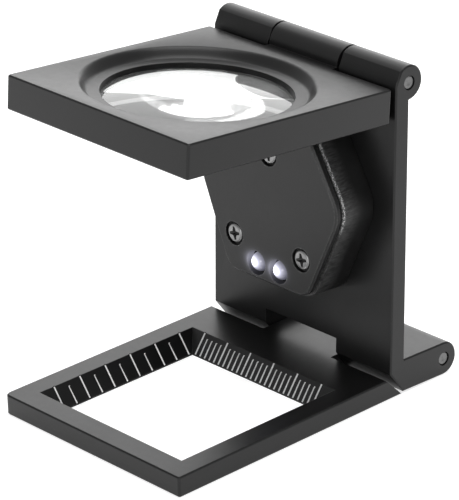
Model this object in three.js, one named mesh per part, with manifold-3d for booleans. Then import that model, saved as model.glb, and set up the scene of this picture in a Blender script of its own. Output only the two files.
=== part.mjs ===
// Folding thread-counter magnifier with an LED lamp: a ruled base frame, an upright
// and a lens plate, folded on two pins. Units are millimetres.
// X runs across the width, -Y is the front, +Z is up. The origin is on the underside
// of the base, under the middle of the whole. Inside, each group has its own origin:
// the base has the middle of the window, the upright and the lens plate have their pins.
import * as THREE from 'three';
import { mergeVertices } from 'three/addons/utils/BufferGeometryUtils.js';
import Module from 'manifold-3d';

const wasm = await Module();
wasm.setup();

// ---------------------------------------------------------------- dimensions
const WIDTH = 37.7;               // base, upright and lens plate share one width
const EDGE = 0.2;                 // broken edges of the metal pieces
const CORNER = 0.4;               // corner radius of the base and lens plate in plan
const BASE_CORNER = 1;            // front left corner of the base in plan
const ROUND_SEGMENTS = 36;        // facets of a full turn on knuckles and pins
const SMALL_GAP = 0.05;           // air between pieces that rest on each other

const BASE_THICK = 3.2;
const WINDOW = 26.2;              // clear square window
const BEVEL_RUN = 2.2;            // width of the bevel around the window
const BEVEL_DROP = 2.95;          // height of that bevel
const FRONT_RAIL = 3.8;           // flat top of the front rail
const REAR_RAIL = 7.1;            // flat top of the rear rail

const SCALE_LONG = 25;            // length of both engraved scales
const TICK_WIDTH = 0.32;
const TICK_DEPTH = 0.1;           // engraved depth of the scale lines
const TICK_STEP = 1;              // fine scale on the rear bevel
const TICK_LONG_EVERY = 5;
const SIDE_STEP = 2.5;            // coarse scale on the left bevel
const SHORT_TICK_SHARE = 0.8;     // length of a short line as a share of the bevel

const KNUCKLE_R = 2.6;            // rear hinge
const TOP_KNUCKLE_R = 2.65;       // lens plate hinge
const PIN_R = 1;
const PIN_PLAY = 0.08;            // radial play of the pins in their bores
const PIN_END = 0.15;             // pin ends set in from the sides
const HALF_TONGUE = 7.2;          // half width of the base tongue and rear knuckle
const NOTCH_PLAY = 0.3;           // side play beside the rear middle knuckle
const HALF_TOP_KNUCKLE = 6.95;    // half width of the lens plate knuckle
const TOP_SIDE_PLAY = 0.4;        // side play beside the lens plate knuckle

const UPRIGHT_THICK = 2.85;
const PIN_SPACING = 45.95;        // height of the top pin above the rear pin
const FOLD_GAP = 0.12;            // air between the upright and the folded lens plate
const BASE_FOLD_GAP = 0.6;        // air between folded lens plate and base
const FOOT_GAP = 0.3;             // upright foot clear of the bevelled base end
const FOOT_CHAMFER_DEEP = 2.8;
const NOTCH_RISE = 0.6;           // notch edge above the rear knuckle
const TOP_NOTCH_PLAY = 0.35;      // notch floor below the lens plate knuckle
const FACET_ANGLE = 130;          // where the front facet of the top knuckles ends

const LEAN = 1.83;                // degrees the upright leans back at rest
const LENS_TILT = 3.25;           // degrees the lens plate is raised from square

const LENS_PLATE_THICK = 5.2;
const PLATE_SETBACK = 3.5;        // rear edge of the lens plate in front of its pin
const PLATE_END_GAP = 0.55;       // folded lens plate clear of the rear knuckles
const LENS_OFFSET = 0.35;         // lens axis in front of the middle of the plate
const LENS_R = 14.3;
const LENS_PLAY = 0.15;
const LENS_EDGE = 1;
const LENS_SAG = 1.75;            // rise of each lens face
const LIP_WIDE = 0.4;             // lip that holds the lens from above
const LIP = 0.85;
const DISH_FLAT = 1.6;            // flat ring around the opening
const DISH_COVE = 1.7;            // S-shaped slope around that ring
const DISH_DEPTH = 1.5;
const COVE_STEPS = 8;             // facets of the S-shaped cove
const RING_WALL = 1.1;
const RING_GAP = 0.4;             // retaining ring below the lens edge
const RING_INSET = 0.25;          // retaining ring above the plate's underside

const HALF_LOW = 8.25;            // half widths of the lamp cover, bottom to top
const HALF_WIDE = 14.77;
const HALF_HIGH = 6.95;
const LOWER_DROP = 14.8;          // cover bottom below its widest level
const UPPER_RISE = 12.7;          // cover top above its widest level
const HOUSING_TOP_GAP = 1.03;     // cover top below the lens plate
const SIDE_ROUND = 5;
const END_ROUND = 3;
const RIM_FLARE = 0.35;           // housing rim outside the cover
const FOOT_FLARE = 0.65;          // housing foot outside the cover
const CAVITY_INSET = 0.8;         // cavity wall inside the cover outline
const BACK_WALL = 1;
const COVER_THICK = 1.25;
const COVER_EDGE = 0.3;

const CELL_R = 6.25;
const CELL_THICK = 1.6;
const CELL_CROWN = 0.25;          // step of the smaller negative face
const CELL_STEP = 0.8;
const CELL_LIFT = 1.05;           // cells above the lamp flanges
const CELL_PLAY = 0.35;           // cells clear of the screw posts
const CONTACT_THICK = 0.2;
const CONTACT_R = 4;
const CONTACT_TAB = 1.6;
const SPRING_WIDE = 3;
const SPRING_SIDE = 2.5;
const SPRING_FLAT = 2.2;
const SPRING_INSET = 1.65;        // leaf ends inside the cell's edge
const SPRING_LIFT = 0.7;
const SPRING_SPACE = 1.15;        // room for the leaf and the wires over the cells

const POST_R = 2.4;               // posts that take the cover screws
const POST_BORE_R = 0.75;
const SCREW_R = 1.5;
const SCREW_SHANK_R = 0.62;
const SCREW_HEAD = 0.6;
const SCREW_LONG = 4.2;
const SINK_R = 1.85;              // counterbore in the cover
const SINK_DEPTH = 0.7;
const CROSS_WIDE = 0.46;
const CROSS_LONG = 2;
const CROSS_DEEP = 0.4;
const MOUNT_INSET = 4.37;         // screws to the upright, inside the widest corners
const MOUNT_DROP = 2.3;           // and below them
const MOUNT_SHANK_R = 0.8;
const MOUNT_PLAY = 0.15;
const MOUNT_LONG = 2.6;
const MOUNT_HOLE = 2.3;           // blind hole depth in the upright

const LED_R = 1.5;
const LED_RIM = 0.1;              // flange around the foot of each lamp
const LED_FLANGE = 0.7;
const LED_PROUD = 0.4;            // dome in front of the cover face
const LED_BACK = 2.9;
const LED_PLAY = 0.4;             // cover holes around the lamps
const LED_WEB = 0.8;              // cover left between the two holes
const LED_FLOOR = 0.1;            // flange above the cavity floor
const LEAD_PITCH = 2.54;
const LEAD_SIZE = 0.45;
const LEAD_HOLE_R = 0.42;
const BOARD_MARGIN = 1.03;
const BOARD_BELOW = 1.4;          // board below and above the lamp axes
const BOARD_ABOVE = 2;
const BOARD_THICK = 0.8;
const BOARD_LIFT = 0.3;           // board above the back wall
const RESISTOR_LONG = 1.6;
const RESISTOR_WIDE = 0.8;
const RESISTOR_THICK = 0.45;
const WIRE_R = 0.3;

const SWITCH_LONG = 8;
const SWITCH_THICK = 3.2;
const SWITCH_TALL = 3.6;
const SWITCH_GAP = 0.7;           // switch body inside the cavity wall
const SLIDER_LONG = 2.4;
const SLIDER_TALL = 1.8;
const SLIDER_PROUD = 0.8;         // slider outside the housing rim
const SLIDER_ROOT = 1.5;
const SLIDE_TRAVEL = 2;
const SLIDE_PLAY = 0.3;

// ------------------------------------------------------------- derived values
const HALF = WIDTH / 2;
const BORE_R = PIN_R + PIN_PLAY;
const FAR = 100;

const OPENING = WINDOW / 2 + BEVEL_RUN;
const LIP_HIGH = BASE_THICK - BEVEL_DROP;
const BEVEL_SLOPE = Math.hypot(BEVEL_RUN, BEVEL_DROP);
const BASE_FRONT = -(OPENING + FRONT_RAIL);
const BASE_REAR_TOP = OPENING + REAR_RAIL;
const BASE_REAR_LOW = BASE_REAR_TOP + BASE_THICK;

// faces of the upright, in front of the rear pin
const REAR_FACE = -(KNUCKLE_R + BASE_FOLD_GAP + LENS_PLATE_THICK + FOLD_GAP);
const FRONT_FACE = REAR_FACE - UPRIGHT_THICK;
const KNUCKLE_Y = BASE_REAR_LOW + FOOT_GAP * Math.SQRT2 - FRONT_FACE - FOOT_CHAMFER_DEEP;
const FOOT_CHAMFER_HIGH = BASE_THICK + FOOT_GAP;
const NOTCH_TOP = KNUCKLE_R + NOTCH_RISE;
const HALF_NOTCH = HALF_TONGUE + NOTCH_PLAY;
const HALF_TOP_NOTCH = HALF_TOP_KNUCKLE + TOP_SIDE_PLAY;
const TOP_PIN_Y = FRONT_FACE + TOP_KNUCKLE_R;

// lens plate, measured from its own pin
const PLATE_TOP = TOP_PIN_Y - REAR_FACE - FOLD_GAP;
const PLATE_LOW = PLATE_TOP - LENS_PLATE_THICK;
const PLATE_REACH = PIN_SPACING - KNUCKLE_R - PLATE_END_GAP;
const LENS_Y = -(PLATE_SETBACK + PLATE_REACH) / 2 - LENS_OFFSET;
const OPENING_R = LENS_R - LIP_WIDE;
const DISH_FLAT_R = OPENING_R + DISH_FLAT;
const DISH_R = DISH_FLAT_R + DISH_COVE;
const DISH_FLOOR = PLATE_TOP - DISH_DEPTH;
const LENS_TOP = DISH_FLOOR - LIP - LENS_PLAY;
const LENS_LOW = LENS_TOP - LENS_EDGE;

// lamp housing: heights from its widest level, depths from the upright
const HOUSING_LEVEL = PIN_SPACING + PLATE_LOW - HOUSING_TOP_GAP - UPPER_RISE;
const REAR_CELL = BACK_WALL + CONTACT_THICK + 2 * SMALL_GAP;
const FRONT_CELL = REAR_CELL + CELL_THICK + SMALL_GAP;
const CELLS_FRONT = FRONT_CELL + CELL_THICK;
const HOUSING_RIM = CELLS_FRONT + SPRING_SPACE;
const COVER_BACK = HOUSING_RIM + SMALL_GAP;
const COVER_FACE = COVER_BACK + COVER_THICK;
const WIRE_DEPTH = CELLS_FRONT + WIRE_R + 0.3;
const SWITCH_DEPTH = BACK_WALL + SLIDE_PLAY + SWITCH_TALL / 2;
const LED_FLANGE_R = LED_R + LED_RIM;
const LED_HOLE_R = LED_R + LED_PLAY;
const LED_SIDE = LED_HOLE_R + LED_WEB / 2;
const LED_Y = -LOWER_DROP + CAVITY_INSET + LED_FLOOR + LED_FLANGE_R;
const BOARD_HALF = LED_SIDE + LEAD_PITCH / 2 + BOARD_MARGIN;
const BOARD_BACK = BACK_WALL + BOARD_LIFT;
const BOARD_FRONT = BOARD_BACK + BOARD_THICK;
const CELL_Y = LED_Y + LED_FLANGE_R + CELL_LIFT + CELL_R;
const POST_RING = CELL_R + CELL_PLAY + POST_R;
const POST_SIDE = BOARD_HALF + POST_R + SMALL_GAP;
const POST_DROP = Math.sqrt(POST_RING ** 2 - POST_SIDE ** 2);
const SPRING_REACH = CELL_R - SPRING_INSET;
const MOUNT_SIDE = HALF_WIDE - MOUNT_INSET;
const MOUNT_Y = -MOUNT_DROP;

// the whole, from the middle of the window
const MIDDLE_Y = (BASE_FRONT + KNUCKLE_Y + KNUCKLE_R) / 2;

// ------------------------------------------------------------------ materials
function finish(color, roughness, metalness, extra = {}) {
  return new THREE.MeshStandardMaterial({ color, roughness, metalness, ...extra });
}

const blackMetal = () => finish('#2b2b2c', 0.5, 0.5);
const blackPlastic = () => finish('#1d1d1e', 0.55, 0);
const steel = () => finish('#b9babc', 0.3, 1);
const nickel = () => finish('#c9c7c0', 0.35, 1);
const brass = () => finish('#c4a35a', 0.35, 1);

// ------------------------------------------------------------ geometry helpers
function toSolid(geometry) {
  const bare = geometry.clone();
  bare.deleteAttribute('normal');
  bare.deleteAttribute('uv');
  const welded = mergeVertices(bare, 1e-4);
  return new wasm.Manifold(new wasm.Mesh({
    numProp: 3,
    vertProperties: new Float32Array(welded.attributes.position.array),
    triVerts: new Uint32Array(welded.index.array),
  }));
}

function toGeometry(solid) {
  const mesh = solid.getMesh();
  const geometry = new THREE.BufferGeometry();
  geometry.setAttribute('position', new THREE.BufferAttribute(mesh.vertProperties, 3));
  geometry.setIndex(new THREE.BufferAttribute(mesh.triVerts, 1));
  const flat = geometry.toNonIndexed();
  flat.computeVertexNormals();
  return flat;
}

// first piece, plus the added ones, minus the removed ones
function carve(first, added, removed) {
  let solid = toSolid(first);
  for (const piece of added) {
    solid = solid.add(toSolid(piece));
  }
  for (const piece of removed) {
    solid = solid.subtract(toSolid(piece));
  }
  return toGeometry(solid);
}

function block(x0, x1, y0, y1, z0, z1) {
  const box = new THREE.BoxGeometry(x1 - x0, y1 - y0, z1 - z0);
  box.translate((x0 + x1) / 2, (y0 + y1) / 2, (z0 + z1) / 2);
  return box;
}

// turns a solid drawn in (first, second, depth) into (Y, Z, X)
function acrossWidth(geometry) {
  const axes = new THREE.Matrix4();
  axes.makeBasis(
    new THREE.Vector3(0, 1, 0),
    new THREE.Vector3(0, 0, 1),
    new THREE.Vector3(1, 0, 0),
  );
  geometry.applyMatrix4(axes);
  return geometry;
}

// flat shape of given thickness, with all its outer edges broken by `edge`
function slab(shape, low, high, edge = 0) {
  const geometry = new THREE.ExtrudeGeometry(shape, {
    depth: high - low - 2 * edge,
    bevelEnabled: edge > 0,
    bevelThickness: edge,
    bevelSize: edge,
    bevelOffset: -edge,
    bevelSegments: 1,
    curveSegments: 4,
  });
  geometry.translate(0, 0, low + edge);
  return geometry;
}

// side profile in (Y, Z), drawn out to `half` on either side of the middle
function widePiece(shape, half, edge = 0) {
  return acrossWidth(slab(shape, -half, half, edge));
}

function rodAcross(radius, x0, x1, y, z, segments = ROUND_SEGMENTS) {
  const rod = new THREE.CylinderGeometry(radius, radius, x1 - x0, segments);
  rod.rotateZ(-Math.PI / 2);
  rod.translate((x0 + x1) / 2, y, z);
  return rod;
}

function post(radius, x, y, z0, z1, segments = 28) {
  const rod = new THREE.CylinderGeometry(radius, radius, z1 - z0, segments);
  rod.rotateX(Math.PI / 2);
  rod.translate(x, y, (z0 + z1) / 2);
  return rod;
}

// turned piece about Z, from a closed list of [radius, height] points
function turned(points, segments) {
  const profile = points.map(([r, z]) => new THREE.Vector2(r, z));
  profile.push(profile[0].clone());
  const geometry = new THREE.LatheGeometry(profile, segments);
  geometry.rotateX(Math.PI / 2);
  return geometry;
}

// solid turned piece whose profile starts and ends on the axis
function turnedSolid(points, segments) {
  const profile = points.map(([r, z]) => new THREE.Vector2(r, z));
  const geometry = new THREE.LatheGeometry(profile, segments);
  geometry.rotateX(Math.PI / 2);
  return geometry;
}

// rectangle with round corners, and a radius of its own at its lowest corner
function roundedRect(x0, x1, y0, y1, r, first = r) {
  const shape = new THREE.Shape();
  shape.moveTo(x0 + first, y0);
  shape.lineTo(x1 - r, y0);
  shape.absarc(x1 - r, y0 + r, r, -Math.PI / 2, 0, false);
  shape.lineTo(x1, y1 - r);
  shape.absarc(x1 - r, y1 - r, r, 0, Math.PI / 2, false);
  shape.lineTo(x0 + r, y1);
  shape.absarc(x0 + r, y1 - r, r, Math.PI / 2, Math.PI, false);
  shape.lineTo(x0, y0 + first);
  shape.absarc(x0 + first, y0 + first, first, Math.PI, 1.5 * Math.PI, false);
  return shape;
}

function polygon(points) {
  return new THREE.Shape(points.map(([a, b]) => new THREE.Vector2(a, b)));
}

function arcPoints(cx, cy, r, fromDeg, toDeg, steps) {
  const points = [];
  for (let i = 0; i <= steps; i += 1) {
    const angle = THREE.MathUtils.degToRad(fromDeg + ((toDeg - fromDeg) * i) / steps);
    points.push([cx + r * Math.cos(angle), cy + r * Math.sin(angle)]);
  }
  return points;
}

function named(name, geometry, material) {
  const mesh = new THREE.Mesh(geometry, material);
  mesh.name = name;
  return mesh;
}

// ------------------------------------------------------------------------ base
// one scale line lying along +Y from the window edge, rounded at its far end
function scaleLine(length, overrun) {
  const half = TICK_WIDTH / 2;
  const shape = new THREE.Shape();
  shape.moveTo(-half, -overrun);
  shape.lineTo(half, -overrun);
  shape.lineTo(half, length - half);
  shape.absarc(0, length - half, half, 0, Math.PI, false);
  shape.lineTo(-half, -overrun);
  const line = new THREE.ExtrudeGeometry(shape, {
    depth: 2 * TICK_DEPTH,
    bevelEnabled: false,
    curveSegments: 4,
  });
  line.translate(0, 0, -TICK_DEPTH);
  line.rotateX(Math.atan2(BEVEL_DROP, BEVEL_RUN));
  line.translate(0, WINDOW / 2, LIP_HIGH);
  return line;
}

function scaleLines() {
  const lines = [];
  const longLine = BEVEL_SLOPE + TICK_WIDTH;
  const shortLine = BEVEL_SLOPE * SHORT_TICK_SHARE;
  const fineCount = Math.round(SCALE_LONG / TICK_STEP);
  for (let i = 0; i <= fineCount; i += 1) {
    const long = i % TICK_LONG_EVERY === 0;
    const line = scaleLine(long ? longLine : shortLine, TICK_WIDTH);
    line.translate(-SCALE_LONG / 2 + i * TICK_STEP, 0, 0);
    lines.push(line);
  }
  const coarseCount = Math.round(SCALE_LONG / SIDE_STEP);
  for (let i = 0; i <= coarseCount; i += 1) {
    const long = i % 2 === 0;
    const line = scaleLine(long ? longLine : shortLine, TICK_WIDTH);
    line.rotateZ(Math.PI / 2);
    line.translate(0, -SCALE_LONG / 2 + i * SIDE_STEP, 0);
    lines.push(line);
  }
  return lines;
}

// four-sided cutter that leaves the bevelled window
function windowCutter() {
  const cutter = new THREE.CylinderGeometry(
    (OPENING + BEVEL_RUN) * Math.SQRT2,
    (WINDOW / 2) * Math.SQRT2,
    2 * BEVEL_DROP,
    4,
  );
  cutter.rotateX(Math.PI / 2);
  cutter.rotateZ(Math.PI / 4);
  cutter.translate(0, 0, LIP_HIGH + BEVEL_DROP);
  return cutter;
}

function baseFrame() {
  const rear = BASE_REAR_LOW + 1;
  const plan = roundedRect(-HALF, HALF, BASE_FRONT, rear, CORNER, BASE_CORNER);
  const plate = slab(plan, 0, BASE_THICK, EDGE);
  const tongue = block(
    -HALF_TONGUE, HALF_TONGUE, OPENING + 1, KNUCKLE_Y, 0, BASE_THICK,
  );
  const knuckle = rodAcross(KNUCKLE_R, -HALF_TONGUE, HALF_TONGUE, KNUCKLE_Y, KNUCKLE_R);
  const endCut = widePiece(polygon([
    [BASE_REAR_LOW + EDGE, -EDGE],
    [BASE_REAR_LOW + 3, -EDGE],
    [BASE_REAR_LOW + 3, BASE_THICK + 1],
    [BASE_REAR_TOP - 1, BASE_THICK + 1],
  ]), HALF + 1);
  const bore = rodAcross(BORE_R, -FAR, FAR, KNUCKLE_Y, KNUCKLE_R);
  const through = block(
    -WINDOW / 2, WINDOW / 2, -WINDOW / 2, WINDOW / 2, -1, BASE_THICK,
  );
  let solid = toSolid(plate).subtract(toSolid(endCut));
  solid = solid.add(toSolid(tongue)).add(toSolid(knuckle));
  solid = solid.subtract(toSolid(bore));
  solid = solid.subtract(toSolid(through)).subtract(toSolid(windowCutter()));
  for (const line of scaleLines()) {
    solid = solid.subtract(toSolid(line));
  }
  return named('base_frame', toGeometry(solid), blackMetal());
}

function hingePin(name, y, z) {
  const pin = rodAcross(PIN_R, -HALF + PIN_END, HALF - PIN_END, y, z);
  return named(name, pin, steel());
}

// --------------------------------------------------------------------- upright
function uprightProfile() {
  const foot = FRONT_FACE + FOOT_CHAMFER_DEEP;
  const points = [
    [foot, -KNUCKLE_R],
    ...arcPoints(0, 0, KNUCKLE_R, -90, 90, ROUND_SEGMENTS / 2),
    [REAR_FACE, KNUCKLE_R],
    ...arcPoints(TOP_PIN_Y, PIN_SPACING, TOP_KNUCKLE_R, -88, FACET_ANGLE, ROUND_SEGMENTS / 2),
    [FRONT_FACE, PIN_SPACING],
    [FRONT_FACE, -KNUCKLE_R + FOOT_CHAMFER_HIGH],
  ];
  return polygon(points);
}

function uprightFrame() {
  const body = widePiece(uprightProfile(), HALF, EDGE);
  const lowNotch = block(
    -HALF_NOTCH, HALF_NOTCH, FRONT_FACE - 1, KNUCKLE_R + 1, -KNUCKLE_R - 1, NOTCH_TOP,
  );
  const topNotch = block(
    -HALF_TOP_NOTCH, HALF_TOP_NOTCH, FRONT_FACE - 1, TOP_PIN_Y + TOP_KNUCKLE_R + 1,
    PIN_SPACING - TOP_KNUCKLE_R - TOP_NOTCH_PLAY, PIN_SPACING + TOP_KNUCKLE_R + 1,
  );
  const cuts = [
    lowNotch,
    topNotch,
    rodAcross(BORE_R, -FAR, FAR, 0, 0),
    rodAcross(BORE_R, -FAR, FAR, TOP_PIN_Y, PIN_SPACING),
  ];
  for (const side of [-1, 1]) {
    const hole = post(MOUNT_SHANK_R + MOUNT_PLAY, side * MOUNT_SIDE, MOUNT_Y, -MOUNT_HOLE, 1);
    hole.rotateX(Math.PI / 2);
    hole.translate(0, FRONT_FACE, HOUSING_LEVEL);
    cuts.push(hole);
  }
  return named('upright_frame', carve(body, [], cuts), blackMetal());
}

// ---------------------------------------------------------------- lamp housing
// corners of the housing outline moved outward by `offset`, with their rounding
function housingCorners(offset) {
  const right = [
    [HALF_LOW, -LOWER_DROP, END_ROUND],
    [HALF_WIDE, 0, SIDE_ROUND],
    [HALF_HIGH, UPPER_RISE, END_ROUND],
  ];
  const left = right.map(([x, y, r]) => [-x, y, r]).reverse();
  const corners = [...right, ...left];
  return corners.map(([x, y, r], i) => {
    const before = corners[(i + corners.length - 1) % corners.length];
    const after = corners[(i + 1) % corners.length];
    const a = new THREE.Vector2(x - before[0], y - before[1]).normalize();
    const b = new THREE.Vector2(after[0] - x, after[1] - y).normalize();
    const bisector = new THREE.Vector2(a.y + b.y, -a.x - b.x).normalize();
    const reach = offset / bisector.dot(new THREE.Vector2(a.y, -a.x));
    return [x + bisector.x * reach, y + bisector.y * reach, Math.max(r + offset, 0.4)];
  });
}

// outline points of the housing, with every corner rounded by the same step count
function housingOutline(offset, steps = 6) {
  const corners = housingCorners(offset);
  const outline = [];
  corners.forEach(([x, y, r], i) => {
    const before = corners[(i + corners.length - 1) % corners.length];
    const after = corners[(i + 1) % corners.length];
    const a = new THREE.Vector2(x - before[0], y - before[1]).normalize();
    const b = new THREE.Vector2(after[0] - x, after[1] - y).normalize();
    const turn = Math.acos(a.dot(b));
    const back = r * Math.tan(turn / 2);
    const start = Math.atan2(-a.x, a.y);
    const cx = x - a.x * back - a.y * r;
    const cy = y - a.y * back + a.x * r;
    for (let k = 0; k <= steps; k += 1) {
      const angle = start + (turn * k) / steps;
      outline.push(new THREE.Vector2(cx + r * Math.cos(angle), cy + r * Math.sin(angle)));
    }
  });
  return outline;
}

// solid between two outlines with the same number of points
function loft(low, z0, high, z1) {
  const count = low.length;
  const positions = [];
  low.forEach((p) => positions.push(p.x, p.y, z0));
  high.forEach((p) => positions.push(p.x, p.y, z1));
  const index = [];
  for (let i = 0; i < count; i += 1) {
    const next = (i + 1) % count;
    index.push(i, next, count + next);
    index.push(i, count + next, count + i);
  }
  for (const [a, b, c] of THREE.ShapeUtils.triangulateShape(low, [])) {
    index.push(c, b, a);
    index.push(count + a, count + b, count + c);
  }
  const geometry = new THREE.BufferGeometry();
  geometry.setAttribute('position', new THREE.Float32BufferAttribute(positions, 3));
  geometry.setIndex(index);
  return geometry;
}

// the cover screws stand in a ring around the cells, the lower two beside the board
const coverScrewPlaces = [
  ['cover_screw_left', -POST_SIDE, CELL_Y - POST_DROP],
  ['cover_screw_right', POST_SIDE, CELL_Y - POST_DROP],
  ['cover_screw_top', 0, CELL_Y + POST_RING],
];

// frame on the upper left flank of the housing: X outward, Y along the flank
function flankFrame() {
  const wide = new THREE.Vector2(-HALF_WIDE, 0);
  const high = new THREE.Vector2(-HALF_HIGH, UPPER_RISE);
  const along = wide.clone().sub(high).normalize();
  const middle = wide.clone().add(high).multiplyScalar(0.5);
  return { x: middle.x, y: middle.y, turn: Math.atan2(-along.x, along.y) };
}

function onFlank(geometry) {
  const flank = flankFrame();
  geometry.rotateZ(flank.turn);
  geometry.translate(flank.x, flank.y, 0);
  return geometry;
}

function housingBody() {
  const shell = loft(housingOutline(FOOT_FLARE), 0, housingOutline(RIM_FLARE), HOUSING_RIM);
  const inner = housingOutline(-CAVITY_INSET);
  const cavity = loft(inner, BACK_WALL, inner, HOUSING_RIM + 1);
  const slotHalf = (SLIDER_LONG + SLIDE_TRAVEL) / 2 + SLIDE_PLAY;
  const slotTall = SLIDER_TALL / 2 + SLIDE_PLAY;
  const slot = onFlank(block(
    -CAVITY_INSET - 1, 2, -slotHalf, slotHalf, SWITCH_DEPTH - slotTall, SWITCH_DEPTH + slotTall,
  ));
  let solid = toSolid(shell).subtract(toSolid(cavity));
  for (const [, x, y] of coverScrewPlaces) {
    solid = solid.add(toSolid(post(POST_R, x, y, BACK_WALL / 2, HOUSING_RIM)));
  }
  for (const [, x, y] of coverScrewPlaces) {
    solid = solid.subtract(toSolid(post(POST_BORE_R, x, y, BACK_WALL, HOUSING_RIM + 1, 20)));
  }
  for (const side of [-1, 1]) {
    const hole = post(MOUNT_SHANK_R + MOUNT_PLAY, side * MOUNT_SIDE, MOUNT_Y, -1, 2, 20);
    solid = solid.subtract(toSolid(hole));
  }
  solid = solid.subtract(toSolid(slot));
  return named('led_housing', toGeometry(solid), blackPlastic());
}

function housingCover() {
  const outline = housingOutline(0, 8);
  const plate = slab(new THREE.Shape(outline), COVER_BACK, COVER_FACE, COVER_EDGE);
  const cuts = [];
  for (const [, x, y] of coverScrewPlaces) {
    cuts.push(post(SINK_R, x, y, COVER_FACE - SINK_DEPTH, COVER_FACE + 1));
    cuts.push(post(POST_BORE_R + 0.1, x, y, COVER_BACK - 1, COVER_FACE, 20));
  }
  for (const side of [-1, 1]) {
    cuts.push(post(LED_HOLE_R, side * LED_SIDE, LED_Y, COVER_BACK - 1, COVER_FACE + 1));
  }
  return named('led_cover', carve(plate, [], cuts), blackPlastic());
}

// cross-recess screw pointing down -Z, its head resting at z = 0
function screw(headR, headHigh, shankR, length) {
  const body = turnedSolid([
    [0, -length],
    [shankR * 0.6, -length],
    [shankR, -length + 0.4],
    [shankR, 0],
    [headR, 0],
    [headR, headHigh * 0.55],
    [headR * 0.8, headHigh],
    [0, headHigh],
  ], 20);
  const wide = CROSS_WIDE / 2;
  const long = CROSS_LONG / 2;
  const low = headHigh - CROSS_DEEP;
  return carve(body, [], [
    block(-long, long, -wide, wide, low, headHigh + 1),
    block(-wide, wide, -long, long, low, headHigh + 1),
  ]);
}

function coverScrew(name, x, y, turnDeg) {
  const mesh = named(name, screw(SCREW_R, SCREW_HEAD, SCREW_SHANK_R, SCREW_LONG), steel());
  mesh.position.set(x, y, COVER_FACE - SINK_DEPTH + SMALL_GAP);
  mesh.rotation.z = THREE.MathUtils.degToRad(turnDeg);
  return mesh;
}

function mountScrew(name, side) {
  const geometry = screw(SCREW_R, SCREW_HEAD, MOUNT_SHANK_R, MOUNT_LONG);
  const mesh = named(name, geometry, steel());
  mesh.position.set(side * MOUNT_SIDE, MOUNT_Y, BACK_WALL + SMALL_GAP);
  return mesh;
}

function ledBody(name, side) {
  const tip = COVER_FACE + LED_PROUD;
  const dome = tip - LED_R;
  const points = [
    [0, LED_BACK],
    [LED_FLANGE_R, LED_BACK],
    [LED_FLANGE_R, LED_BACK + LED_FLANGE],
    [LED_R, LED_BACK + LED_FLANGE],
    ...arcPoints(0, dome, LED_R, 0, 90, 6),
  ];
  points[points.length - 1][0] = 0;
  const material = finish('#f4f6ff', 0.2, 0, { emissive: '#dfe6ff', emissiveIntensity: 1 });
  const mesh = named(name, turnedSolid(points, 20), material);
  mesh.position.set(side * LED_SIDE, LED_Y, 0);
  return mesh;
}

function ledLead(name, x) {
  const half = LEAD_SIZE / 2;
  const lead = block(-half, half, -half, half, BACK_WALL + SMALL_GAP, LED_BACK - SMALL_GAP);
  const mesh = named(name, lead, nickel());
  mesh.position.set(x, LED_Y, 0);
  return mesh;
}

const leadPlaces = [
  ['led_left_lead_outer', -LED_SIDE - LEAD_PITCH / 2],
  ['led_left_lead_inner', -LED_SIDE + LEAD_PITCH / 2],
  ['led_right_lead_inner', LED_SIDE - LEAD_PITCH / 2],
  ['led_right_lead_outer', LED_SIDE + LEAD_PITCH / 2],
];

function circuitBoard() {
  const board = block(
    -BOARD_HALF, BOARD_HALF, LED_Y - BOARD_BELOW, LED_Y + BOARD_ABOVE,
    BOARD_BACK, BOARD_FRONT,
  );
  const holes = leadPlaces.map(([, x]) => post(LEAD_HOLE_R, x, LED_Y, 0, BOARD_FRONT + 1, 12));
  return named('circuit_board', carve(board, [], holes), finish('#1f6b3a', 0.5, 0));
}

function resistor() {
  const low = BOARD_FRONT + SMALL_GAP;
  const chip = block(
    -RESISTOR_WIDE / 2, RESISTOR_WIDE / 2, LED_Y - RESISTOR_LONG / 2,
    LED_Y + RESISTOR_LONG / 2, low, low + RESISTOR_THICK,
  );
  return named('resistor', chip, finish('#20202a', 0.5, 0));
}

function coinCell(name, back) {
  const small = CELL_R - CELL_STEP;
  const cell = turnedSolid([
    [0, 0],
    [small, 0],
    [small, CELL_CROWN],
    [CELL_R - 0.15, CELL_CROWN],
    [CELL_R, CELL_CROWN + 0.15],
    [CELL_R, CELL_THICK - 0.15],
    [CELL_R - 0.15, CELL_THICK],
    [0, CELL_THICK],
  ], 36);
  const mesh = named(name, cell, nickel());
  mesh.position.set(0, CELL_Y, back);
  return mesh;
}

// flat disc under the cells with a tab that reaches the circuit board
function rearContact() {
  const low = BACK_WALL + SMALL_GAP;
  const high = low + CONTACT_THICK;
  const disc = post(CONTACT_R, 0, CELL_Y, low, high, 36);
  const tab = block(
    -CONTACT_TAB / 2, CONTACT_TAB / 2, LED_Y + BOARD_ABOVE + SMALL_GAP, CELL_Y, low, high,
  );
  return named('battery_contact_rear', carve(disc, [tab], []), brass());
}

// bowed leaf pressing on the front cell
function frontContact() {
  const path = [
    [-SPRING_REACH, SPRING_LIFT],
    [-SPRING_FLAT, 0],
    [SPRING_FLAT, 0],
    [SPRING_REACH, SPRING_LIFT],
  ];
  const back = [...path].reverse().map(([a, b]) => [a, b + CONTACT_THICK]);
  const leaf = slab(polygon([...path, ...back]), -SPRING_WIDE / 2, SPRING_WIDE / 2);
  acrossWidth(leaf);
  const mesh = named('battery_contact_front', leaf, brass());
  mesh.position.set(SPRING_SIDE, CELL_Y, CELLS_FRONT + SMALL_GAP);
  return mesh;
}

function wire(name, places, color) {
  const curve = new THREE.CatmullRomCurve3(places.map((p) => new THREE.Vector3(...p)));
  const section = new THREE.Shape();
  section.absarc(0, 0, WIRE_R, 0, 2 * Math.PI, false);
  const geometry = new THREE.ExtrudeGeometry(section, {
    steps: 16,
    curveSegments: 4,
    bevelEnabled: false,
    extrudePath: curve,
  });
  return named(name, geometry, finish(color, 0.5, 0));
}

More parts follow.
